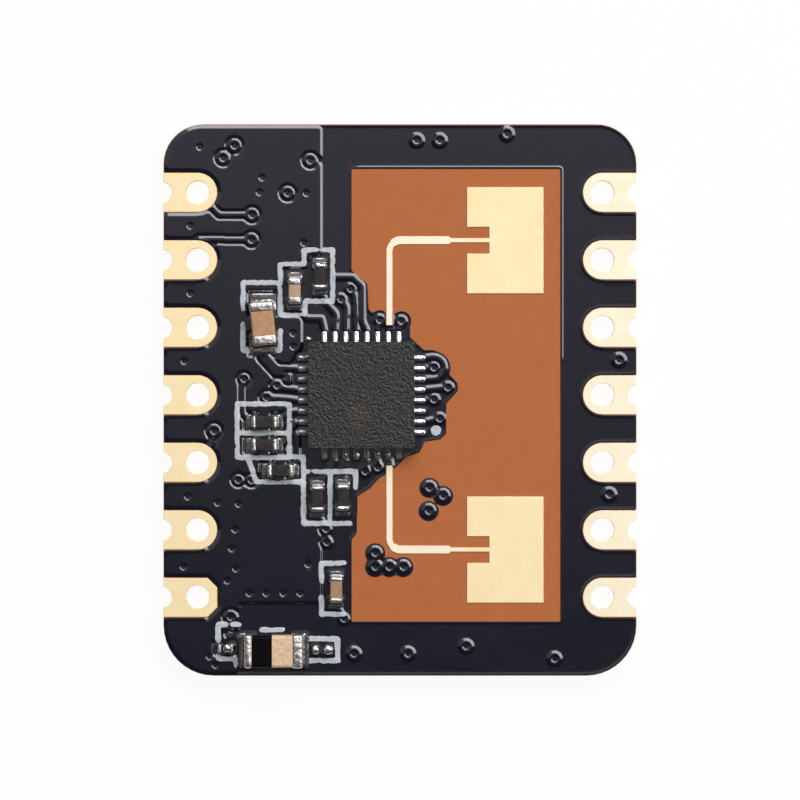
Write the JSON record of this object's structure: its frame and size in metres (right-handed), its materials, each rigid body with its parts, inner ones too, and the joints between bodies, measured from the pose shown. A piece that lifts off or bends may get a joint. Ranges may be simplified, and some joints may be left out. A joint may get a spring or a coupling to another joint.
{
  "type": "millimeter wave radar sensor",
  "caption": "Castellated radar sensor module with inset-fed patch antennas, a no-lead radar chip and chip capacitors on a black board.",
  "frame": {"origin": "centre of the board's underside, at the faces of the bottom lands", "axes": "+Z out of the component side, +Y towards the transmit antenna, +X towards the antennas' side"},
  "size_m": [0.0178, 0.0208, 0.0021],
  "materials": {
    "core_laminate": "glass-epoxy laminate, matt cut edge",
    "bare_laminate": "bare orange-brown laminate, satin",
    "copper": "etched copper under the mask",
    "gold_plate": "thin gold plating, satin",
    "black_mask": "black solder mask, semi-gloss",
    "white_print": "pale ink, matt",
    "black_mould": "rough moulded package",
    "tin_plate": "bright tin plating",
    "solder": "bright solder",
    "black_print": "black printed band",
    "tan_ceramic": "fired ceramic, matt",
    "dark_ceramic": "dark fired ceramic, matt"
  },
  "bodies": {
    "root": {"antenna_laminate": "bare_laminate", "base_laminate": "core_laminate", "bulk_capacitor_band": "black_print", "bulk_capacitor_body": "tan_ceramic", "bulk_capacitor_caps": "tin_plate", "bypass_chip_1_body": "dark_ceramic", "bypass_chip_1_caps": "tin_plate", "bypass_chip_2_body": "dark_ceramic", "bypass_chip_2_caps": "tin_plate", "bypass_chip_3_body": "dark_ceramic", "bypass_chip_3_caps": "tin_plate", "bypass_chip_4_body": "dark_ceramic", "bypass_chip_4_caps": "tin_plate", "bypass_chip_5_body": "dark_ceramic", "bypass_chip_5_caps": "tin_plate", "bypass_chip_6_body": "dark_ceramic", "bypass_chip_6_caps": "tin_plate", "component_lands": "tin_plate", "filled_vias": "copper", "filter_capacitor_1_body": "tan_ceramic", "filter_capacitor_1_caps": "tin_plate", "filter_capacitor_2_body": "tan_ceramic", "filter_capacitor_2_caps": "tin_plate", "ground_plane": "copper", "ground_pour": "copper", "pad_left_1": "gold_plate", "pad_left_2": "gold_plate", "pad_left_3": "gold_plate", "pad_left_4": "gold_plate", "pad_left_5": "gold_plate", "pad_left_6": "gold_plate", "pad_left_7": "gold_plate", "pad_right_1": "gold_plate", "pad_right_2": "gold_plate", "pad_right_3": "gold_plate", "pad_right_4": "gold_plate", "pad_right_5": "gold_plate", "pad_right_6": "gold_plate", "pad_right_7": "gold_plate", "radar_chip_body": "black_mould", "radar_chip_leads": "tin_plate", "radar_chip_paddle": "tin_plate", "radar_chip_solder": "solder", "receive_antenna": "gold_plate", "signal_traces": "copper", "silkscreen_marks": "white_print", "solder_joints": "solder", "solder_mask_bottom": "black_mask", "solder_mask_top": "black_mask", "supply_capacitor_body": "tan_ceramic", "supply_capacitor_caps": "tin_plate", "transmit_antenna": "gold_plate", "trim_chip_1_body": "dark_ceramic", "trim_chip_1_caps": "tin_plate", "trim_chip_2_body": "dark_ceramic", "trim_chip_2_caps": "tin_plate"}
  },
  "joints": []
}
